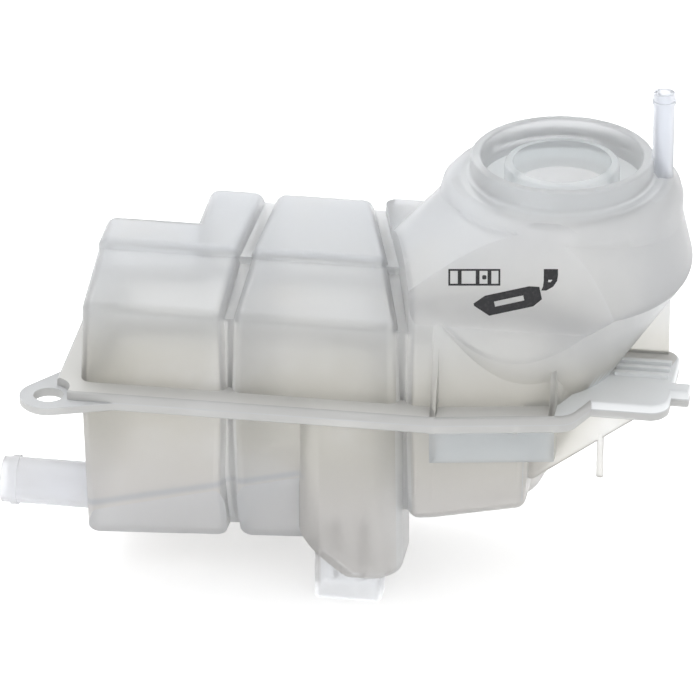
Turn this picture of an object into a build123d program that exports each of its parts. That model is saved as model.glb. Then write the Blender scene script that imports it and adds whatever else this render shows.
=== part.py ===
"""Coolant expansion tank: two moulded plastic halves welded at a flange, with two level electrodes.

Frame: origin at the middle of the mounting ear's bore. The weld plane lies half the ear's
thickness above it. +X runs along the tank to the filler end, +Y to the rear, +Z up.
Heights in this file are measured from the weld plane, and each piece is moved up at the end.
"""
import os
from math import cos, radians, sin, tan

from build123d import *

# Walls of the two mouldings
wall = 3.0
draft = 1.5
corner_r = 5.0
groove_gap = 2.0
groove_depth = 4.5
baffle = 2.5
baffle_hole_r = 5.0
baffle_hole_drop = 2.5

# Plan of the tank at the weld plane
left_x = 12.0
front_y = 6.5
back_y = 104.5
groove_1_x = 76.0
groove_1_lean = 2.0
groove_2_x = 152.0
groove_2_lean = -15.0
turn_x = 164.0
shoulder_x = 216.0
shoulder_turn = 10.0
end_x = 226.0
end_back_y = 84.0
end_corner = 24.0

# Upper half
front_h = 40.0
roof_slope = 14.5
step_y = 41.5
step_overlap = 10.0
roof_h = 53.5
notch_x = 51.0
notch_y = 71.0
shelf_h = 16.0

# Filler dome on its slanting pedestal and funnel, and the printed panel in front of them
dome_x = 209.0
dome_y = 76.5
dome_r = 52.0
dome_h = 84.0
dome_edge_r = 9.0
dome_edge_steps = 3
dome_low_h = 60.0
pedestal_x = 200.0
pedestal_y = 64.0
pedestal_r = 70.0
pedestal_h = 78.0
foot_x = 195.0
foot_y = 58.0
foot_r = 38.0
panel_slope = 62.0

# Collar and filler neck
rim_h = 93.0
collar_r = 39.0
collar_wall = 4.5
collar_foot = 2.0
rim_bevel = 1.0
moat_depth = 13.0
neck_r = 21.0
neck_wall = 3.5
neck_drop = 3.5

# Vent nipple on the dome's shoulder
nipple_turn = 8.0
nipple_offset = 42.8
nipple_r = 4.5
nipple_bore_r = 2.75
nipple_h = 122.0
nipple_bead = 0.6
nipple_bead_drop = 4.0

# Weld flange, mounting ear, lug plate and ribs
flange_w = 10.0
flange_t = 4.0
flange_edge = 1.0
ear_r = 12.5
ear_bore_r = 6.5
ear_relief = 2.5
ear_root = 26.0
ear_root_r = 3.0
lug_plate_x = 262.0
lug_plate_front = 22.5
lug_plate_back = 75.5
lug_plate_r = 8.0
lug_l = 7.5
lug_w = 8.0
lug_y = 41.5
rib_t = 2.5
rib_h = 28.0
low_rib_h = 1.6
low_rib_l = 23.0
low_rib_pitch = 6.0
low_rib_count = 3
web_h = 42.0
skirt_h = 14.0
skirt_rib_x = 198.0
brace_h = 36.0
brace_x = 248.0
brace_front_y = 24.0
brace_back_y = 67.0
peg_x = 233.5
peg_r = 1.5
peg_h = 33.0
peg_root = 12.0

# Lower half
floor_h = 72.0
facet_left_h = 56.0
facet_right_h = 33.0
facet_run = 16.5
facet_x = 106.0
end_floor_h = 53.0
end_floor_slope = -7.0
end_low_x = 204.0
foot_low_h = 51.0
foot_low_x = 178.0
foot_low_y = 52.0
foot_low_r = 27.0

# Hose nozzle
nozzle_y = 26.5
nozzle_h = 56.5
nozzle_r = 10.0
nozzle_bore_r = 8.0
nozzle_l = 38.0
nozzle_bead = 0.8
nozzle_bead_l = 7.0
nozzle_bead_w = 3.0

# Sensor well, plug socket and level electrodes
well_x = 128.5
well_w = 45.0
well_front = -2.0
well_back = 42.0
well_h = 78.0
well_r = 14.0
well_slope = 38.0
well_slope_x = 115.0
well_slope_h = 66.0
well_edge_r = 4.0
socket_x = 127.5
socket_y = 14.5
socket_w = 29.0
socket_d = 16.0
socket_r = 3.0
socket_h = 92.0
socket_root_h = 60.0
socket_wall = 1.8
pin_r = 1.15
pin_pitch = 12.0
pin_inner_h = 57.0
pin_h = 86.0
pin_clearance = 0.02
pin_boss_r = 3.2
pin_boss_h = 3.0

# Longer than any wall or bore it is used to raise or cut
tall = 110.0
cone_l = 3 * tall
# Shorter than any wall
least = 0.1
right_angle = 90.0


def groove_1(y):
    """X of the first groove's centre line at depth y."""
    return groove_1_x + (y - front_y) * tan(radians(groove_1_lean))


def groove_2(y):
    """X of the second groove's centre line at depth y."""
    return groove_2_x + (y - front_y) * tan(radians(groove_2_lean))


def shifted(line, amount):
    return lambda y: line(y) + amount


def straight(x):
    return lambda y: x


half_gap = groove_gap / 2
web_reach = half_gap + corner_r
left_wall = straight(left_x)
groove_1_left = shifted(groove_1, -half_gap)
groove_1_right = shifted(groove_1, half_gap)
groove_2_left = shifted(groove_2, -half_gap)
groove_2_right = shifted(groove_2, half_gap)


def band(left, right, near, deep):
    """Four plan corners between two walls, from y = near to y = deep."""
    return [(left(near), near), (right(near), near), (right(deep), deep), (left(deep), deep)]


def turned_y(x):
    """Y of the filler end's front wall, which turns back beyond turn_x."""
    return front_y + max(x - turn_x, 0) * tan(radians(shoulder_turn))


def prism(points, height, inset=0.0):
    """Drafted prism on the weld plane, its plan moved in by the inset."""
    face = make_face(Polyline(*points, close=True))
    if inset:
        face = offset(face, amount=-inset, kind=Kind.INTERSECTION)
    return extrude(face, amount=height, taper=draft)


def upright(solid):
    """Edges that rise from the weld plane."""
    return [edge for edge in solid.edges() if edge.bounding_box().min.Z < least < edge.bounding_box().max.Z]


def roof_plane(height, slope=0.0):
    """Plane at a height over the front wall, rising to the rear by the slope."""
    return Plane(origin=(0, front_y, height)).rotated((slope, 0, 0))


def side_plane(x, height, slope):
    """Plane at a height over x, rising towards +X by the slope."""
    return Plane(origin=(x, 0, height), z_dir=(-sin(radians(slope)), 0, cos(radians(slope))))


def under(solid, plane, inset=0.0):
    return split(solid, bisect_by=plane.offset(-inset), keep=Keep.BOTTOM)


def block(points, roof, inset=0.0):
    """Drafted block standing on the weld plane under a roof plane, its outer edges rounded."""
    solid = under(prism(points, tall, inset), roof, inset)
    if inset:
        return solid
    top = solid.faces().sort_by(Axis.Z)[-1]
    return fillet(upright(solid) + top.edges(), corner_r)


def web(line, near, deep, roof, inset=0.0):
    """Plain wall that closes a groove between two blocks, set back by the groove's depth."""
    back = groove_depth + inset
    points = band(shifted(line, -web_reach), shifted(line, web_reach), near + back, deep - back)
    return under(extrude(make_face(Polyline(*points, close=True)), amount=tall), roof, back)


def baffle_slab(line, height):
    points = band(shifted(line, -baffle / 2), shifted(line, baffle / 2), front_y, back_y)
    return extrude(make_face(Polyline(*points, close=True)), amount=height)


def crossing(line, y, height, radius):
    """Round passage through a baffle, along X."""
    return Pos(line(y), y, height) * Rot(0, right_angle, 0) * Cylinder(radius, 2 * web_reach)


def cone(low, low_r, high, high_r, inset=0.0):
    """Long leaning cone, through two level circles in the plane of its lean and moved in by the inset."""
    start = Vector(*low)
    rise = Vector(*high) - start
    lean = Vector(rise.X, rise.Y, 0).normalized() * low_r
    apex = start - rise * (low_r / (high_r - low_r))
    near = (start + lean - apex).normalized()
    far = (start - lean - apex).normalized()
    half_angle = radians(near.get_angle(far) / 2)
    axis = (near + far).normalized()
    tip = Plane(origin=apex + axis * (inset / sin(half_angle)), z_dir=axis)
    return tip * Cone(0, cone_l * tan(half_angle), cone_l, align=(Align.CENTER, Align.CENTER, Align.MIN))


def between(solid, low, high):
    """What of a solid lies between two levels."""
    return split(under(solid, roof_plane(high)), bisect_by=roof_plane(low), keep=Keep.TOP)


def fuse(solids):
    first, *rest = solids
    return first.fuse(*rest)


def turned(points):
    """Revolve a closed (r, z) outline about the dome's axis."""
    face = Plane.XZ * make_face(Polyline(*points, close=True))
    return Pos(dome_x, dome_y, 0) * revolve(face, axis=Axis.Z)


# Upper half
moat_floor = rim_h - moat_depth
slope_roof = roof_plane(front_h, roof_slope)
flat_roof = roof_plane(roof_h)
panel_plane = roof_plane(front_h, panel_slope)
front_plane = roof_plane(0.0, right_angle - draft)
step_deep = step_y + step_overlap
groove_lean = radians(groove_2_lean)
groove_normal = (-cos(groove_lean), sin(groove_lean), tan(radians(draft)))
groove_plane = Plane(origin=(groove_2_right(front_y), front_y, 0), z_dir=groove_normal)
end_plan = [
    (groove_2_right(front_y), front_y),
    (turn_x, front_y),
    (shoulder_x, turned_y(shoulder_x)),
    (end_x, foot_y - foot_r / 2),
    (end_x, end_back_y),
    (end_x - end_corner, back_y),
    (groove_2_right(back_y), back_y),
]
upper_plans = [
    (band(left_wall, groove_1_left, front_y, step_deep), slope_roof),
    (band(groove_1_right, groove_2_left, front_y, step_deep), slope_roof),
    (band(left_wall, groove_1_left, step_y, notch_y), flat_roof),
    (band(straight(notch_x), groove_1_left, step_y, back_y), flat_roof),
    (band(left_wall, groove_1_left, step_y, back_y), roof_plane(shelf_h)),
    (band(groove_1_right, groove_2_left, step_y, back_y), flat_roof),
]
groove_lines = (groove_1, groove_2)


def upper_webs(inset=0.0):
    fronts = [web(line, front_y, step_deep, slope_roof, inset) for line in groove_lines]
    rears = [web(line, step_y, back_y, flat_roof, inset) for line in groove_lines]
    return fronts + rears


def shoulder(inset, steps):
    """Points of the round body's rounded edge in (r, z), from its side to its top."""
    radius = dome_edge_r - inset
    turns = [radians(right_angle * i / steps) for i in range(steps + 1)]
    middle_r = dome_r - dome_edge_r
    middle_z = dome_h - dome_edge_r
    return [(middle_r + radius * cos(turn), middle_z + radius * sin(turn)) for turn in turns]


def dome():
    """Round body with splash collar, moat and filler neck."""
    inner_r = collar_r - collar_wall
    neck_outer_r = neck_r + neck_wall
    neck_h = rim_h - neck_drop
    points = [(0, dome_low_h), (dome_r, dome_low_h), *shoulder(0.0, dome_edge_steps)]
    points += [(collar_r + collar_foot, dome_h), (collar_r, dome_h + collar_foot)]
    points += [(collar_r, rim_h - rim_bevel), (collar_r - rim_bevel, rim_h)]
    points += [(inner_r + rim_bevel, rim_h), (inner_r, rim_h - rim_bevel)]
    points += [(inner_r, moat_floor), (neck_outer_r, moat_floor)]
    points += [(neck_outer_r, neck_h - rim_bevel), (neck_outer_r - rim_bevel, neck_h), (0, neck_h)]
    return under(turned(points), panel_plane)


def dome_hollow():
    """Inside of the round body, which stops below the moat's floor."""
    low = moat_floor - wall
    points = [(0, dome_low_h), (dome_r - wall, dome_low_h), *shoulder(wall, 1)]
    points += [(collar_r, dome_h - wall), (collar_r, low), (0, low)]
    return under(turned(points), panel_plane, wall)


def end_form(inset):
    """Filler end: the end chamber's block, the pedestal over it and the funnel beside it."""
    middle = (pedestal_x, pedestal_y, roof_h)
    pedestal = cone(middle, pedestal_r, (dome_x, dome_y, pedestal_h), dome_r, inset)
    funnel = cone((foot_x, foot_y, 0), foot_r, middle, pedestal_r, inset)
    solid = between(pedestal & funnel, 0, pedestal_h - inset)
    for plane in (groove_plane, front_plane):
        solid = under(solid, plane, inset)
    box = prism(end_plan, roof_h - inset, inset)
    if not inset:
        box = fillet(upright(box), corner_r)
    return under(solid.fuse(box), panel_plane, inset)


def upper_form(inset):
    """Upper half's three chambers, moved in by the inset."""
    blocks = [block(points, roof, inset) for points, roof in upper_plans]
    return fuse(blocks + [end_form(inset)])


def beside_baffles(webs, passages):
    """Space beside the baffles behind the grooves, with the passages through the baffles."""
    slabs = [baffle_slab(line, tall) for line in groove_lines]
    return fuse(webs).cut(*slabs).fuse(*passages)


def flange(face):
    """Flange plate standing on the weld plane, its far edge chamfered."""
    plate = extrude(face, amount=flange_t)
    rim = plate.faces().sort_by(Axis.Z)[-1].outer_wire().edges()
    return chamfer(rim, flange_edge)


def plate_x(x, points):
    """Rib of the common thickness at x, from its (y, z) corners."""
    face = make_face(Polyline(*[(x, y, z) for y, z in points], close=True))
    return extrude(face, amount=rib_t, dir=(1, 0, 0))


def plate_y(y, points):
    """Rib of the common thickness at y, from its (x, z) corners."""
    face = make_face(Polyline(*[(x, y, z) for x, z in points], close=True))
    return extrude(face, amount=rib_t, dir=(0, 1, 0))


def front_rib(x, height):
    """Triangular rib between the filler end's front wall and the flange's edge."""
    root = turned_y(x) + wall / 2
    edge = turned_y(x) - flange_w + flange_edge
    return plate_x(x, [(root, 0), (edge, 0), (edge, flange_t), (root, flange_t + height)])


# Weld flange with the lug plate at the filler end
end_wall = end_plan[1:-1]
plan_points = [(left_x, front_y), *end_wall, (left_x, back_y)]
plan_face = make_face(Polyline(*plan_points, close=True)) + Pos(foot_x, foot_y) * Circle(foot_r)
flange_face = offset(plan_face, amount=flange_w, kind=Kind.ARC)
lug_plate_l = lug_plate_x - foot_x
lug_plate_w = lug_plate_back - lug_plate_front
lug_plate_y = (lug_plate_back + lug_plate_front) / 2
lug_plate = RectangleRounded(lug_plate_l, lug_plate_w, lug_plate_r)
flange_face += Pos(foot_x + lug_plate_l / 2, lug_plate_y) * lug_plate
flange_face += Pos(lug_plate_x, lug_y) * Rectangle(2 * lug_l, lug_w)

# Upper half: outer form first, then its hollows
vent_y = (front_y + back_y) / 2
hole_depth = groove_depth + wall + baffle_hole_drop + baffle_hole_r
vent_h = roof_h - hole_depth
nipple_x = dome_x + nipple_offset * cos(radians(nipple_turn))
nipple_y = dome_y + nipple_offset * sin(radians(nipple_turn))
nipple_foot = dome_h - wall / 2
nipple_l = nipple_h - nipple_foot
stem = Pos(nipple_x, nipple_y, nipple_foot + nipple_l / 2) * Cylinder(nipple_r, nipple_l)
bead_h = nipple_h - nipple_bead_drop
bead = Pos(nipple_x, nipple_y, bead_h) * Cylinder(nipple_r + nipple_bead, 2 * nipple_bead)
web_y = lug_plate_back - 2 * rib_t
web_x = lug_plate_x - 2 * rib_t
end_web = plate_y(web_y, [(foot_x, 0), (web_x, 0), (web_x, web_h), (foot_x, web_h)])
low_ribs = [
    Pos(lug_plate_x - rib_t - low_rib_l / 2, lug_plate_y + i * low_rib_pitch, flange_t)
    * Box(low_rib_l, rib_t, 2 * low_rib_h)
    for i in range(low_rib_count)
]
ribs = [front_rib(turn_x, rib_h), front_rib(shoulder_x - rib_t, rib_h), end_web] + low_ribs
upper = upper_form(0.0).fuse(dome(), *upper_webs())
upper = upper.fuse(flange(flange_face), stem, bead, *ribs)
upper_passages = [crossing(line, vent_y, vent_h, baffle_hole_r) for line in groove_lines]
hollow = upper_form(wall).fuse(dome_hollow(), beside_baffles(upper_webs(wall), upper_passages))
upper = upper.cut(hollow)
upper = upper.cut(
    Pos(dome_x, dome_y, rim_h) * Cylinder(neck_r, 2 * (rim_h - dome_low_h)),
    Pos(nipple_x, nipple_y, nipple_h) * Cylinder(nipple_bore_r, 2 * (nipple_h - dome_low_h)),
    Cylinder(ear_bore_r + ear_relief, tall),
)

# Lower half, drawn upwards from the weld plane and mirrored at the end
floor_plane = roof_plane(floor_h)
end_floor_plane = side_plane(groove_2_x, end_floor_h, end_floor_slope)
end_low_plan = [
    (groove_2_right(front_y), front_y),
    (turn_x, front_y),
    (end_low_x, turned_y(end_low_x)),
    (end_low_x, back_y),
    (groove_2_right(back_y), back_y),
]
facet_start = Vector(left_x, front_y, facet_left_h)
facet_along = Vector(facet_x, front_y, facet_right_h) - facet_start
facet_across = Vector(facet_x, front_y + facet_run, floor_h) - facet_start
facet_plane = Plane(origin=facet_start, x_dir=facet_along, z_dir=facet_along.cross(facet_across))
main_plans = [
    band(left_wall, groove_1_left, front_y, back_y),
    band(groove_1_right, groove_2_left, front_y, back_y),
]
well_y = (well_front + well_back) / 2
well_d = well_back - well_front
pin_places = [(socket_x - pin_pitch / 2, socket_y), (socket_x + pin_pitch / 2, socket_y)]


def sensor_well(inset):
    """Round-cornered well in front of the middle chamber, its floor sloping up on the left."""
    face = RectangleRounded(well_w - 2 * inset, well_d - 2 * inset, well_r - inset)
    solid = under(extrude(Pos(well_x, well_y) * face, amount=tall), roof_plane(well_h), inset)
    if not inset:
        solid = fillet(solid.faces().sort_by(Axis.Z)[-1].edges(), well_edge_r)
    return under(solid, side_plane(well_slope_x, well_slope_h, well_slope), inset)


def lower_form(inset):
    """Lower half's three chambers and the sensor well, moved in by the inset."""
    mains = [under(block(points, floor_plane, inset), facet_plane, inset) for points in main_plans]
    end = block(end_low_plan, end_floor_plane, inset)
    low_end = (foot_low_x, foot_low_y, foot_low_h)
    end_cone = between(cone((foot_x, foot_y, 0), foot_r, low_end, foot_low_r, inset), 0, foot_low_h - inset)
    return fuse(mains + [end, end_cone, sensor_well(inset)])


def lower_webs(inset=0.0):
    first = under(web(groove_1, front_y, back_y, floor_plane, inset), facet_plane, groove_depth + inset)
    second = web(groove_2, front_y, back_y, roof_plane(end_floor_h), inset)
    return [first, second]


def socket_prism(inset, low, high):
    face = RectangleRounded(socket_w - 2 * inset, socket_d - 2 * inset, socket_r - inset)
    return Pos(socket_x, socket_y, low) * extrude(face, amount=high - low)


def pin(place, radius, low, high):
    return Pos(*place, (low + high) / 2) * Cylinder(radius, high - low)


def nozzle_part(radius, start, length):
    """Cylinder on the hose nozzle's axis, from x = start towards -X."""
    return Pos(start - length / 2, nozzle_y, nozzle_h) * Rot(0, right_angle, 0) * Cylinder(radius, length)


def brace(y):
    """Triangular brace between the lower wall and the lug plate."""
    points = [(foot_x, 0), (brace_x, 0), (brace_x, flange_t), (foot_x + flange_w, brace_h), (foot_x, brace_h)]
    return plate_y(y, points)


skirt_edge = flange_w - flange_edge
skirt_plan = [
    (turn_x, turned_y(turn_x) - skirt_edge),
    (shoulder_x, turned_y(shoulder_x) - skirt_edge),
    (shoulder_x, turned_y(shoulder_x)),
    (shoulder_x - rib_t, turned_y(shoulder_x - rib_t)),
    (shoulder_x - rib_t, turned_y(shoulder_x - rib_t) - skirt_edge + rib_t),
    (turn_x + rib_t, turned_y(turn_x + rib_t) - skirt_edge + rib_t),
    (turn_x + rib_t, turned_y(turn_x + rib_t)),
    (turn_x, turned_y(turn_x)),
]
skirt = extrude(make_face(Polyline(*skirt_plan, close=True)), amount=flange_t + skirt_h)
skirt_rib = front_rib(skirt_rib_x, skirt_h)
peg = pin((peg_x, brace_front_y + rib_t / 2), peg_r, peg_root, peg_h)
ear_edge = (left_x - flange_w, front_y - flange_w)
ear_face = make_hull(
    Circle(ear_r).edges()
    + (Pos(ear_edge[0] + ear_root_r, ear_edge[1] + ear_root) * Circle(ear_root_r)).edges()
    + (Pos(ear_edge[0] + ear_root, ear_edge[1] + ear_root_r) * Circle(ear_root_r)).edges()
)
nozzle_end = left_x - nozzle_l
nozzle = [
    nozzle_part(nozzle_r, left_x + wall, nozzle_l + wall),
    nozzle_part(nozzle_r + nozzle_bead, nozzle_end + nozzle_bead_l, nozzle_bead_w),
]
lower_outer = lower_form(0.0)
lower = lower_outer.fuse(*lower_webs())
braces = [brace(brace_front_y), brace(brace_back_y)]
lower = lower.fuse(flange(flange_face + ear_face), skirt, skirt_rib, peg, *braces)
lower = lower.fuse(*nozzle, socket_prism(0.0, socket_root_h, socket_h))
lower_passages = [
    crossing(groove_1, vent_y, floor_h - hole_depth, baffle_hole_r),
    crossing(groove_2, vent_y, end_floor_h - hole_depth, baffle_hole_r),
]
bosses = [pin(place, pin_boss_r, pin_inner_h + pin_boss_h, well_h) & sensor_well(0.0) for place in pin_places]
lower_hollow = lower_form(wall).fuse(beside_baffles(lower_webs(wall), lower_passages))
lower = lower.cut(lower_hollow)
lower = lower.cut(
    socket_prism(socket_wall, socket_root_h, socket_h) - lower_outer,
    nozzle_part(nozzle_bore_r, left_x + 2 * wall, nozzle_l + 2 * wall),
    Cylinder(ear_bore_r, tall),
)
lower = lower.fuse(*bosses)
lower = lower.cut(*[pin(place, pin_r + pin_clearance, pin_inner_h, socket_h) for place in pin_places])
electrodes = [pin(place, pin_r, pin_inner_h, pin_h) for place in pin_places]

lift = Pos(0, 0, flange_t / 2)
os.makedirs("parts", exist_ok=True)
export_step(lift * upper, "parts/upper_shell.step")
export_step(lift * mirror(lower, about=Plane.XY), "parts/lower_shell.step")
export_step(lift * mirror(electrodes[0], about=Plane.XY), "parts/level_electrode_left.step")
export_step(lift * mirror(electrodes[1], about=Plane.XY), "parts/level_electrode_right.step")
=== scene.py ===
from math import cos, radians, sin, tan

import bmesh
import bpy
from mathutils import Euler, Matrix, Vector


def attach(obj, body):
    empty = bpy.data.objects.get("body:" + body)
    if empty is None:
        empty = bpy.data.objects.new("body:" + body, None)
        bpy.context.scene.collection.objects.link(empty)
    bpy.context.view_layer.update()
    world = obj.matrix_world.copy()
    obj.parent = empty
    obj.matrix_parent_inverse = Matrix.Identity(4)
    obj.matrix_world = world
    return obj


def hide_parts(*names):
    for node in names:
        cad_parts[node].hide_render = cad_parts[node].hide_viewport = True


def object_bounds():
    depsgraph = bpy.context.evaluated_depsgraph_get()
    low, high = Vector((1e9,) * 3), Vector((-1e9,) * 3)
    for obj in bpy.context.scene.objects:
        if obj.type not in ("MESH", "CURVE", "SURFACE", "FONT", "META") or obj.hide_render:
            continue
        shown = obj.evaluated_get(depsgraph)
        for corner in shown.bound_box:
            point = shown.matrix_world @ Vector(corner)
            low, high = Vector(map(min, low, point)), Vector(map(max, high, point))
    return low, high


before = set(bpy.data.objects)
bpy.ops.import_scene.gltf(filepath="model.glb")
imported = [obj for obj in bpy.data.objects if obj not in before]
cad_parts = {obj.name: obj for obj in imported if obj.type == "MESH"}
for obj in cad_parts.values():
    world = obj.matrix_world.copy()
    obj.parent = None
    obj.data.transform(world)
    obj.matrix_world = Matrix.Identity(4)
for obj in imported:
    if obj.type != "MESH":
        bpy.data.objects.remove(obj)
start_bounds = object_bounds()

# Upper moulding
# One injection moulding in uncoloured polypropylene: three chambers, the dome with its splash collar,
# the vent nipple and half of the weld flange. It is hot-plate welded to the lower moulding.
MM = 0.001
merge_gap = 0.01 * MM
flat_angle = radians(0.4)
sharp_angle = radians(19)
bevel_angle = radians(50)
weld_level = 2 * MM
flange_reach = 4.3 * MM
dome_base = 81 * MM
panel_foot = Vector((164, 6.5, 42)) * MM
panel_slope = radians(62)
panel_out = Euler((panel_slope, 0, 0)).to_matrix() @ Vector((0, 0, 1))


def only(piece):
    """Select one object alone and make it the active one."""
    bpy.ops.object.select_all(action="DESELECT")
    piece.select_set(True)
    bpy.context.view_layer.objects.active = piece


def pick_edges(piece, test):
    """Select the edges that pass a test, on the piece that is open in edit mode."""
    bpy.ops.mesh.select_mode(type="EDGE")
    bpy.ops.mesh.select_all(action="DESELECT")
    for edge in bmesh.from_edit_mesh(piece.data).edges:
        edge.select_set(test(edge))


def pick_faces(piece, test):
    """Select the faces that pass a test, on the piece that is open in edit mode."""
    bpy.ops.mesh.select_mode(type="FACE")
    bpy.ops.mesh.select_all(action="DESELECT")
    for face in bmesh.from_edit_mesh(piece.data).faces:
        face.select_set(test(face))


def on_flange(place):
    return abs(place.z - weld_level) < flange_reach


def is_soft_bevel(edge):
    """Whether an edge is a step of the dome's rounded edge or of the flange's bevels."""
    shallow = edge.is_manifold and edge.calc_face_angle() < bevel_angle
    on_dome = all(end.co.z > dome_base for end in edge.verts)
    return shallow and (on_dome or all(on_flange(end.co) for end in edge.verts))


def is_panel_fold(edge):
    """Whether an edge is part of the fold round the flat panel."""
    flat = [face.normal.angle(panel_out) < flat_angle for face in edge.link_faces]
    over = all((end.co - panel_foot).dot(panel_out) > -merge_gap for end in edge.verts)
    return over and any(flat) and not all(flat)


wall = 3 * MM
surface_gap = 0.05 * MM
facet_match = cos(radians(12))
funnel_foot = Vector((195, 58, 2)) * MM
funnel_foot_r = 38 * MM
waist = Vector((200, 64, 55.5)) * MM
waist_r = 70 * MM
dome_foot = Vector((209, 76.5, 80)) * MM
dome_foot_r = 52 * MM


def leaning_cone(low, low_r, high, high_r):
    """Tip, axis and half angle of the round cone through two level circles."""
    rise = high - low
    sideways = Vector((rise.x, rise.y, 0)).normalized() * low_r
    tip = low - rise * (low_r / (high_r - low_r))
    near = (low + sideways - tip).normalized()
    far = (low - sideways - tip).normalized()
    return tip, (near + far).normalized(), near.angle(far) / 2


def beside_cone(cone, place):
    """Distance of a place from a cone and the cone's normal there."""
    tip, axis, half = cone
    along = (place - tip).dot(axis)
    out = place - tip - axis * along
    return out.length * cos(half) - along * sin(half), out.normalized() * cos(half) - axis * sin(half)


def round_cones(piece):
    """Shade the facets of the pedestal and the funnel, outside and inside, as true cones."""
    pedestal = leaning_cone(waist, waist_r, dome_foot, dome_foot_r)
    funnel = leaning_cone(funnel_foot, funnel_foot_r, waist, waist_r)
    mesh = piece.data
    normals = [corner.vector.copy() for corner in mesh.corner_normals]
    for face in mesh.polygons:
        for cone in (pedestal, funnel):
            near = [beside_cone(cone, mesh.vertices[corner].co) for corner in face.vertices]
            facing = face.normal.dot(beside_cone(cone, face.center)[1])
            skin = 0 if facing > 0 else -wall
            if abs(facing) > facet_match and all(abs(off - skin) < surface_gap for off, normal in near):
                for corner, (off, normal) in zip(face.loop_indices, near):
                    normals[corner] = normal if facing > 0 else -normal
    mesh.normals_split_custom_set(normals)


def new_material(name):
    """Material with its node tree and its shader."""
    material = bpy.data.materials.new(name)
    material.use_nodes = True
    return material, material.node_tree, material.node_tree.nodes["Principled BSDF"]


def placed(tree, kind, x, y, **settings):
    """Add a shader node at a place in its tree."""
    node = tree.nodes.new(kind)
    node.location = (x, y)
    for key, value in settings.items():
        setattr(node, key, value)
    return node


def rising(tree, source, span, x, y):
    """Mask that rises smoothly from 0 to 1 as the source goes from the span's start to its end."""
    node = placed(tree, "ShaderNodeMapRange", x, y, interpolation_type="SMOOTHSTEP")
    tree.links.new(source, node.inputs["Value"])
    node.inputs["From Min"].default_value, node.inputs["From Max"].default_value = span
    return node.outputs["Result"]


def spread(tree, source, span, x, y):
    """Value that goes from the span's start to its end as the source goes from 0 to 1."""
    node = placed(tree, "ShaderNodeMapRange", x, y)
    tree.links.new(source, node.inputs["Value"])
    node.inputs["To Min"].default_value, node.inputs["To Max"].default_value = span
    return node.outputs["Result"]


def combined(tree, operation, first, second, x, y):
    """Math node on a socket and a socket or number."""
    node = placed(tree, "ShaderNodeMath", x, y, operation=operation)
    tree.links.new(first, node.inputs[0])
    if isinstance(second, (int, float)):
        node.inputs[1].default_value = second
    else:
        tree.links.new(second, node.inputs[1])
    return node.outputs["Value"]


def apart(tree, source, level, x, y):
    """How far the source is from a level, to either side."""
    offset = combined(tree, "SUBTRACT", source, level, x, y)
    return combined(tree, "ABSOLUTE", offset, 0.0, x + 180, y)


def tinted(tree, mask, base, tint, x, y):
    """Colour mixed from a base to a tint by a mask; each is a socket or a colour."""
    node = placed(tree, "ShaderNodeMix", x, y, data_type="RGBA")
    tree.links.new(mask, node.inputs["Factor"])
    for value, socket in ((base, node.inputs[6]), (tint, node.inputs[7])):
        if isinstance(value, tuple):
            socket.default_value = (*value, 1)
        else:
            tree.links.new(value, socket)
    return node.outputs[2]


def noise(tree, where, scale, detail, x, y):
    node = placed(tree, "ShaderNodeTexNoise", x, y)
    tree.links.new(where, node.inputs["Vector"])
    node.inputs["Scale"].default_value = scale
    node.inputs["Detail"].default_value = detail
    return node.outputs["Fac"]


tint_places = ("Foot", "Low", "High", "End", "Fold", "Cloud")
height_span = (6 * MM, 54 * MM)
depth_span = (-8 * MM, -50 * MM)
end_span = (140 * MM, 225 * MM)
cloud_scale = 22
cloud_span = (0.45, 0.85)
cloud_roughness = (0.28, 0.44)
fold_start = -57 * MM
fold_rise = 23 / 94
fold_width = (2.6 * MM, 0.2 * MM)
fold_end = (112 * MM, 104 * MM)
fold_front = (16 * MM, 12 * MM)
hairline_width = (0.4 * MM, 0.15 * MM)
hairline_tint = (0.60, 0.61, 0.62)
grain_scale = 1400
grain_strength = 0.03
grain_depth = 0.1 * MM


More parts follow.
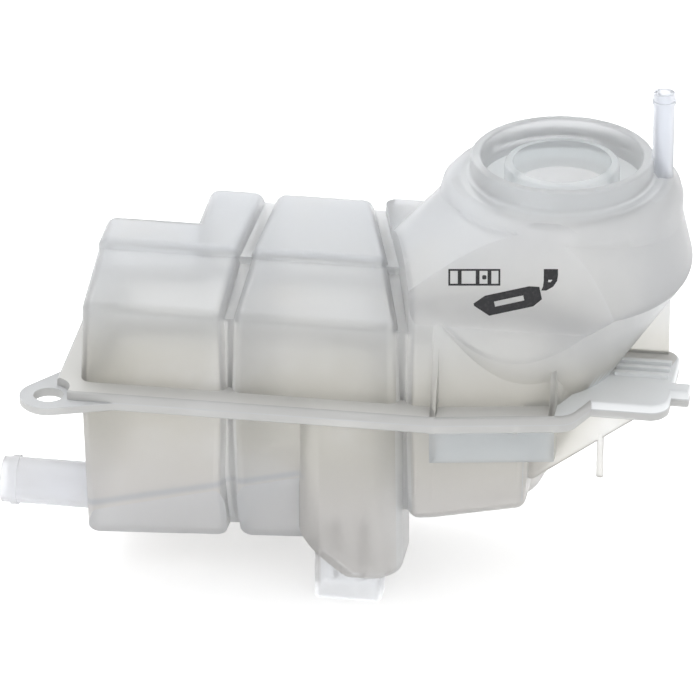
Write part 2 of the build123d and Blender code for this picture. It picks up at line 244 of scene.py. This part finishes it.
def milky_and_painted_light_group():
    """Cloudiness of moulded polypropylene, plus painted light and shade: warmer low down, cooler high up."""
    group = bpy.data.node_groups.new("milky_polypropylene_and_painted_light", "ShaderNodeTree")
    for place in tint_places:
        group.interface.new_socket(place + " Tint", in_out="INPUT", socket_type="NodeSocketColor")
    group.interface.new_socket("Colour", in_out="OUTPUT", socket_type="NodeSocketColor")
    group.interface.new_socket("Roughness", in_out="OUTPUT", socket_type="NodeSocketFloat")
    group.interface.new_socket("Grain", in_out="OUTPUT", socket_type="NodeSocketFloat")
    tints = placed(group, "NodeGroupInput", -1400, 300).outputs
    where = placed(group, "ShaderNodeTexCoord", -1400, 0).outputs["Object"]
    axes = placed(group, "ShaderNodeSeparateXYZ", -1200, 0)
    group.links.new(where, axes.inputs["Vector"])
    along, back, up = axes.outputs

    # Painted light: lighter and cooler towards the roofs, which face the light, darker and warmer lower down
    height = rising(group, up, height_span, -900, 100)
    body = tinted(group, height, tints["Low Tint"], tints["High Tint"], -600, 200)
    # Painted light from the lit floor: lighter towards the bottom of the lower moulding
    depth = rising(group, up, depth_span, -900, 0)
    body = tinted(group, depth, body, tints["Foot Tint"], -500, 300)
    end = combined(group, "MULTIPLY", height, rising(group, along, end_span, -900, -100), -700, -100)
    body = tinted(group, end, body, tints["End Tint"], -500, 200)
    cloud = noise(group, where, cloud_scale, 3, -900, -300)
    body = tinted(group, rising(group, cloud, cloud_span, -600, -300), body, tints["Cloud Tint"], -300, 200)

    # Painted shade: a darker, cooler line along the fold above the lower moulding's front facet
    climb = combined(group, "MULTIPLY", along, fold_rise, -1100, 600)
    level = combined(group, "SUBTRACT", up, climb, -1000, 600)
    fold = rising(group, apart(group, level, fold_start, -900, 600), fold_width, -600, 600)
    fold = combined(group, "MULTIPLY", fold, rising(group, along, fold_end, -900, 700), -500, 700)
    fold = combined(group, "MULTIPLY", fold, rising(group, back, fold_front, -900, 800), -300, 700)
    body = tinted(group, fold, body, tints["Fold Tint"], -150, 200)
    hairline = rising(group, apart(group, up, weld_level, -900, 400), hairline_width, -500, 400)
    colour = tinted(group, hairline, body, hairline_tint, 0, 200)

    out = placed(group, "NodeGroupOutput", 300, 0)
    group.links.new(colour, out.inputs["Colour"])
    group.links.new(spread(group, cloud, cloud_roughness, 0, -200), out.inputs["Roughness"])
    group.links.new(noise(group, where, grain_scale, 2, 0, -500), out.inputs["Grain"])
    return group


milky_and_painted_light = milky_and_painted_light_group()


def polypropylene(name, body, see_through=0.7, refraction=1.3, **tints):
    """Milky plastic: part of the light goes through the wall and the rest scatters in it.

    The body's tint holds wherever no tint of the place's own is given. The low, high, foot and fold tints
    are painted light and shade.
    """
    material, tree, shader = new_material(name)
    shader.inputs["Transmission Weight"].default_value = see_through
    shader.inputs["IOR"].default_value = refraction
    plastic_and_light = placed(tree, "ShaderNodeGroup", -500, 0, node_tree=milky_and_painted_light)
    for place in tint_places:
        plastic_and_light.inputs[place + " Tint"].default_value = (*tints.get(place.lower(), body), 1)
    bump = placed(tree, "ShaderNodeBump", -240, -260)
    bump.inputs["Strength"].default_value = grain_strength
    bump.inputs["Distance"].default_value = grain_depth
    tree.links.new(plastic_and_light.outputs["Colour"], shader.inputs["Base Color"])
    tree.links.new(plastic_and_light.outputs["Roughness"], shader.inputs["Roughness"])
    tree.links.new(plastic_and_light.outputs["Grain"], bump.inputs["Height"])
    tree.links.new(bump.outputs["Normal"], shader.inputs["Normal"])
    return material


# Painted light and shade in the tints: lighter, cooler roofs, lighter foot, darker fold line
chamber_plastic = polypropylene(
    "chamber_polypropylene", (0.735, 0.722, 0.675), foot=(0.825, 0.81, 0.795), high=(0.83, 0.845, 0.865),
    end=(0.745, 0.75, 0.757), fold=(0.68, 0.695, 0.72), cloud=(0.85, 0.85, 0.845)
)
flange_plastic = polypropylene(
    "flange_polypropylene", (0.60, 0.60, 0.59), see_through=0.25, low=(0.585, 0.585, 0.575),
    cloud=(0.65, 0.65, 0.645)
)


def middle(face):
    return face.calc_center_median()


def first_corner(face):
    return face.verts[0].co


def give_plastic(piece, plastic, test, spot=middle):
    """Add a material to a piece and give it to the faces whose middle, or another spot, passes a test."""
    only(piece)
    if plastic.name not in piece.data.materials:
        piece.data.materials.append(plastic)
    piece.active_material_index = piece.data.materials.find(plastic.name)
    bpy.ops.object.mode_set(mode="EDIT")
    pick_faces(piece, lambda face: test(spot(face)))
    bpy.ops.object.material_slot_assign()
    bpy.ops.object.mode_set(mode="OBJECT")


def finished_moulding(node, name):
    """Copy of a CAD node with its triangles merged into faces and its round stretches shaded smooth."""
    only(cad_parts[node])
    bpy.ops.object.duplicate()
    piece = bpy.context.active_object
    piece.name = name
    bpy.ops.object.mode_set(mode="EDIT")
    bpy.ops.mesh.select_all(action="SELECT")
    bpy.ops.mesh.remove_doubles(threshold=merge_gap)
    bpy.ops.mesh.dissolve_limited(angle_limit=flat_angle)
    bpy.ops.object.mode_set(mode="OBJECT")
    bpy.ops.object.shade_smooth_by_angle(angle=sharp_angle)
    bpy.ops.object.mode_set(mode="EDIT")
    pick_edges(piece, is_soft_bevel)
    bpy.ops.mesh.mark_sharp(clear=True)
    pick_edges(piece, is_panel_fold)
    bpy.ops.mesh.mark_sharp()
    bpy.ops.object.mode_set(mode="OBJECT")
    even = piece.modifiers.new("even_shading", "WEIGHTED_NORMAL")
    even.keep_sharp = True
    bpy.ops.object.modifier_apply(modifier=even.name)
    round_cones(piece)
    piece.data.materials.clear()
    give_plastic(piece, chamber_plastic, lambda place: True)
    give_plastic(piece, flange_plastic, on_flange)
    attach(piece, "root")
    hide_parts(node)
    return piece


upper = finished_moulding("upper_shell", "upper_moulding")

ledge_level = 5.8 * MM
# Painted light: the flange's upward top face gets a lighter copy of the flange plastic
lit_ledge_plastic = polypropylene(
    "lit_ledge_polypropylene", (0.74, 0.735, 0.715), see_through=0.25, low=(0.75, 0.745, 0.72),
    cloud=(0.78, 0.775, 0.76)
)
give_plastic(upper, lit_ledge_plastic, lambda place: on_flange(place) and place.z > ledge_level)

panel_plastic = polypropylene(
    "panel_polypropylene", (0.775, 0.78, 0.79), low=(0.76, 0.76, 0.75), cloud=(0.85, 0.85, 0.85)
)
give_plastic(upper, panel_plastic, lambda place: abs((place - panel_foot).dot(panel_out)) < surface_gap)

plate_start = 228 * MM
plate_top = 12 * MM
# Painted light: the lug plate is lighter to lift the shade that the dome casts on it
lit_plate_plastic = polypropylene(
    "lit_plate_polypropylene", (0.84, 0.86, 0.87), see_through=0.1, cloud=(0.88, 0.89, 0.90)
)
give_plastic(upper, lit_plate_plastic, lambda place: place.x > plate_start and place.z < plate_top)

groove_lines = ((76 * MM, radians(2)), (152 * MM, radians(-15)))
groove_reach = 3.5 * MM
front_wall = 6.5 * MM
# Painted light: the grooves and their rounds are lighter, lifting the shade in them and painting bright
# edges
lit_groove_plastic = polypropylene(
    "lit_groove_polypropylene", (0.86, 0.86, 0.845), foot=(0.87, 0.88, 0.89), high=(0.90, 0.91, 0.92),
    end=(0.80, 0.81, 0.82), fold=(0.76, 0.77, 0.79), cloud=(0.89, 0.89, 0.885)
)


def in_groove(place):
    lines = [start + (place.y - front_wall) * tan(lean) for start, lean in groove_lines]
    return not on_flange(place) and any(abs(place.x - line) < groove_reach for line in lines)


give_plastic(upper, lit_groove_plastic, in_groove)

# The flat rings have their middle on the neck's axis, so the rim gets its own back by their corners
collar_foot = 84.2 * MM
collar_reach = 43.5 * MM
moat_reach = 34.6 * MM
neck_low = 60 * MM
neck_reach = 27 * MM
# Painted light: the collar gets a lighter plastic that lifts the shade on its inner wall
lit_rim_plastic = polypropylene("lit_rim_polypropylene", (0.78, 0.79, 0.80), cloud=(0.83, 0.84, 0.85))
# Painted light: the neck's bore gets a near-white, clearer plastic that lifts the shade down in it
lit_neck_plastic = polypropylene(
    "lit_neck_polypropylene", (0.93, 0.95, 0.955), see_through=0.92, refraction=1.08, cloud=(0.95, 0.965, 0.97)
)


def off_axis(place):
    return (place.xy - dome_foot.xy).length


def in_collar(place):
    return place.z > collar_foot and off_axis(place) < collar_reach


def beyond_moat(place):
    return in_collar(place) and off_axis(place) > moat_reach


give_plastic(upper, lit_rim_plastic, in_collar)
give_plastic(upper, lit_neck_plastic, lambda place: place.z > neck_low and off_axis(place) < neck_reach)
give_plastic(upper, lit_rim_plastic, beyond_moat, first_corner)

nipple_foot = 90 * MM
nipple_middle = Vector((251.4, 82.5)) * MM
nipple_reach = 6 * MM
thin_plastic = polypropylene(
    "thin_polypropylene", (0.80, 0.80, 0.81), see_through=0.75, high=(0.86, 0.88, 0.92),
    end=(0.87, 0.89, 0.93), cloud=(0.89, 0.90, 0.93)
)


def on_nipple(place):
    return place.z > nipple_foot and (place.xy - nipple_middle).length < nipple_reach


give_plastic(upper, thin_plastic, on_nipple)

# Lower moulding
# The same plastic in a second injection moulding: three chambers, the sensor well with its plug socket,
# the hose nozzle, the other half of the flange, the mounting ear and the braces of the lug plate.
facet_place = Vector((47.9, 12.2, -58.6)) * MM
facet_out = Vector((0.0949, -0.9168, -0.3879))
facet_flat = 0.3 * MM
skirt_start = 160 * MM
skirt_front = 6.3 * MM
skirt_low = -22 * MM
skirt_high = -2.5 * MM
nozzle_root = 10.5 * MM
nozzle_top = -30 * MM
socket_top = -76.5 * MM
# Painted light from the floor: the front facet, facing down and forward, gets a lighter, cooler plastic; the
# skirt takes the same one
lit_facet_plastic = polypropylene(
    "lit_facet_polypropylene", (0.765, 0.80, 0.825), foot=(0.81, 0.82, 0.84), fold=(0.68, 0.695, 0.72),
    cloud=(0.84, 0.85, 0.865)
)
clear_plastic = polypropylene(
    "clear_polypropylene", (0.97, 0.98, 0.995), refraction=1.12, cloud=(0.98, 0.99, 1.0)
)


def on_facet(place):
    return abs((place - facet_place).dot(facet_out)) < facet_flat


def on_skirt(place):
    return place.x > skirt_start and place.y < skirt_front and skirt_low < place.z < skirt_high


lower = finished_moulding("lower_shell", "lower_moulding")
give_plastic(lower, lit_groove_plastic, in_groove)
give_plastic(lower, lit_facet_plastic, on_facet)
give_plastic(lower, lit_facet_plastic, on_skirt)
give_plastic(lower, thin_plastic, lambda place: place.x < nozzle_root and place.z < nozzle_top)
give_plastic(lower, clear_plastic, lambda place: place.z < socket_top)

# Level electrodes
# Two straight pins of drawn steel that sense the coolant's level. They are pressed through the floor of
# the sensor well, with their lower ends in the plug socket.
draw_stretch = (1, 1, 0.04)
draw_scale = 4000
draw_roughness = (0.25, 0.5)
dark_steel = (0.22, 0.215, 0.21)
bright_steel = (0.44, 0.435, 0.43)
steel, tree, shader = new_material("drawn_steel")
shader.inputs["Metallic"].default_value = 1.0
where = placed(tree, "ShaderNodeTexCoord", -900, 0).outputs["Object"]
stretch = placed(tree, "ShaderNodeMapping", -720, 0)
stretch.inputs["Scale"].default_value = draw_stretch
tree.links.new(where, stretch.inputs["Vector"])
drawn = noise(tree, stretch.outputs["Vector"], draw_scale, 2, -540, 0)
tree.links.new(tinted(tree, drawn, dark_steel, bright_steel, -300, 100), shader.inputs["Base Color"])
tree.links.new(spread(tree, drawn, draw_roughness, -300, -200), shader.inputs["Roughness"])
for node in ("level_electrode_left", "level_electrode_right"):
    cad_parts[node].data.materials.clear()
    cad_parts[node].data.materials.append(steel)

# Printed marks
# Black pad print on the slanting panel in front of the dome: a row of four framed fields with a dot, a tag
# with a blank window and a curved stroke. The ink is a thin film on the plastic.
ink_lift = 0.06 * MM
ink_scale = 700
ink_wear = (0.45, 0.75)
ink_black = (0.010, 0.010, 0.012)
ink_grey = (0.028, 0.028, 0.031)
panel = Matrix.Translation(panel_foot) @ Euler((panel_slope, 0, 0)).to_matrix().to_4x4()

ink, tree, shader = new_material("pad_print_ink")
where = placed(tree, "ShaderNodeTexCoord", -700, 0).outputs["Object"]
worn = rising(tree, noise(tree, where, ink_scale, 3, -500, 0), ink_wear, -300, 0)
tree.links.new(tinted(tree, worn, ink_black, ink_grey, -120, 0), shader.inputs["Base Color"])
shader.inputs["Roughness"].default_value = 0.45


def sheet(width, height):
    """Flat sheet round the origin, open in edit mode with everything selected."""
    bpy.ops.object.select_all(action="DESELECT")
    bpy.ops.mesh.primitive_plane_add(size=1)
    bpy.ops.object.mode_set(mode="EDIT")
    bpy.ops.mesh.select_mode(type="EDGE")
    bpy.ops.mesh.select_all(action="SELECT")
    bpy.ops.transform.resize(value=(width * MM, height * MM, 1))
    return bpy.context.active_object


def grown(piece, test, move, narrow=(1, 1, 1)):
    """Extrude the edges whose two ends pass a test of their place in mm, then scale the new edges."""
    pick_edges(piece, lambda edge: all(test(end.co / MM) for end in edge.verts))
    bpy.ops.mesh.extrude_region_move(TRANSFORM_OT_translate={"value": [part * MM for part in move]})
    bpy.ops.transform.resize(value=narrow)


def cut_window(piece, test, rim):
    """Leave a blank inside the faces whose middle, in mm, passes a test."""
    pick_faces(piece, lambda face: test(middle(face) / MM))
    bpy.ops.mesh.inset(thickness=rim * MM)
    bpy.ops.mesh.delete(type="FACE")


def drawn_on(place, turn):
    """Turn the mark that is open in edit mode and move it to its place in the panel's plane."""
    bpy.ops.mesh.select_all(action="SELECT")
    bpy.ops.transform.rotate(value=-radians(turn), orient_axis="Z", center_override=(0, 0, 0))
    bpy.ops.transform.translate(value=(place[0] * MM, place[1] * MM, ink_lift))
    bpy.ops.object.mode_set(mode="OBJECT")


def printed(piece, name):
    """Lay a mark that is drawn flat on the panel."""
    piece.name = name
    piece.matrix_world = panel
    only(piece)
    bpy.ops.object.transform_apply(location=True, rotation=True, scale=True)
    piece.data.materials.append(ink)
    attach(piece, "root")


edge_slack = 0.5
row_place = (7.3, 23.2)
row_turn = 4
row_tall = 7.0
row_line = 0.8
field_widths = (4.8, 7.6, 5.0, 4.6)
fields = sheet(field_widths[0], row_tall)
row_end = field_widths[0] / 2
for width in field_widths[1:]:
    grown(fields, lambda place: place.x > row_end - edge_slack, (width, 0, 0))
    row_end += width
pick_faces(fields, lambda face: True)
bpy.ops.mesh.inset(thickness=row_line * MM, use_individual=True)
bpy.ops.mesh.delete(type="FACE")
drawn_on(row_place, row_turn)
printed(fields, "print_fields")

dot_place = (20.1, 24.1)
dot_size = 1.8
dot_round = 0.6
dot = sheet(dot_size, dot_size)
bpy.ops.mesh.bevel(offset=dot_round * MM, segments=4, affect="VERTICES")
drawn_on(dot_place, row_turn)
printed(dot, "print_dot")

tag_place = (31.3, 14.9)
tag_turn = 16
tag_long = 19.0
tag_tall = 8.6
tag_rim = 3.2
nose_move = (4.2, 0.5, 0)
nose_taper = 0.62
tail_move = (-5.4, 1.6, 0)
tail_taper = 0.12
tag_end = tag_long / 2 - edge_slack
tag = sheet(tag_long, tag_tall)
grown(tag, lambda place: place.x > tag_end, nose_move, (1, nose_taper, 1))
grown(tag, lambda place: place.x < -tag_end, tail_move, (1, tail_taper, 1))
cut_window(tag, lambda place: abs(place.x) < tag_rim, tag_rim)
drawn_on(tag_place, tag_turn)
printed(tag, "print_tag")

stroke_place = (48.0, 28.2)
stroke_wide = 6.0
stroke_head = 2.6
stroke_rim = 1.9
stroke_steps = (((-0.2, -2.4, 0), 0.94), ((-1.0, -2.4, 0), 0.76), ((-1.8, -1.6, 0), 0.5))
stroke = sheet(stroke_wide, stroke_head)
stroke_end = -stroke_head / 2
for move, taper in stroke_steps:
    last_end = stroke_end
    grown(stroke, lambda place: place.y < stroke_end + edge_slack, move, (taper, 1, 1))
    stroke_end += move[1]
cut_window(stroke, lambda place: last_end < place.y < -stroke_head / 2, stroke_rim)
drawn_on(stroke_place, row_turn)
printed(stroke, "print_stroke")

# Floor
# A wide sheet of pale matt acrylic under the lowest point of the tank. It is lit faintly from below, so the
# tank stands on an almost white ground.
floor_level = start_bounds[0][2]
floor_size = 30
floor_grey = (0.90, 0.90, 0.90)
floor_white = (0.93, 0.93, 0.93)
floor_glow = 0.35
bpy.ops.object.select_all(action="DESELECT")
bpy.ops.mesh.primitive_plane_add(size=floor_size, location=(0, 0, floor_level))
floor = bpy.context.active_object
floor.name = "floor"
acrylic, tree, shader = new_material("pale_acrylic")
where = placed(tree, "ShaderNodeTexCoord", -700, 0).outputs["Object"]
mottle = noise(tree, where, 60, 3, -500, 0)
tree.links.new(tinted(tree, mottle, floor_grey, floor_white, -200, 0), shader.inputs["Base Color"])
shader.inputs["Roughness"].default_value = 0.9
shader.inputs["Specular IOR Level"].default_value = 0.0
shader.inputs["Emission Color"].default_value = (1, 1, 1, 1)
shader.inputs["Emission Strength"].default_value = floor_glow
floor.data.materials.append(acrylic)

# Studio light
# A white room lights the tank evenly from all sides. One broad soft box hangs above and behind it, turned to
# the middle of the view.
room = bpy.data.worlds.new("white_room")
bpy.context.scene.world = room
room.use_nodes = True
room.node_tree.nodes["Background"].inputs["Color"].default_value = (1, 1, 1, 1)
room.node_tree.nodes["Background"].inputs["Strength"].default_value = 1.0
look_at = Vector((120.85, 56.5, 4.5)) * MM
box_place = Vector((-0.3, 0.7, 1.6))
box_size = 1.4
box_power = 14
box_colour = (0.97, 0.985, 1.0)
bpy.ops.object.light_add(type="AREA", location=box_place)
top_box = bpy.context.active_object
top_box.name = "top_box"
top_box.data.size = box_size
top_box.data.energy = box_power
top_box.data.color = box_colour
top_box.rotation_euler = (look_at - box_place).to_track_quat("-Z", "Y").to_euler()

# Camera
# A long lens at the photograph's angle, 9 degrees round to the right and 27 degrees up. It stands three
# metres away, so that parallel edges hardly converge.
camera_turn = radians(9)
camera_rise = radians(27)
camera_far = 3.0
view_width = 301 * MM
film_width = 36
bpy.ops.object.camera_add()
camera = bpy.context.active_object
away = Euler((-camera_rise, 0, camera_turn)).to_matrix() @ Vector((0, -1, 0))
camera.location = look_at + away * camera_far
camera.rotation_euler = (-away).to_track_quat("-Z", "Y").to_euler()
camera.data.sensor_width = film_width
camera.data.lens = film_width * camera_far / view_width
camera.data.clip_end = 100
bpy.context.scene.camera = camera
bpy.context.scene.view_settings.view_transform = "Standard"
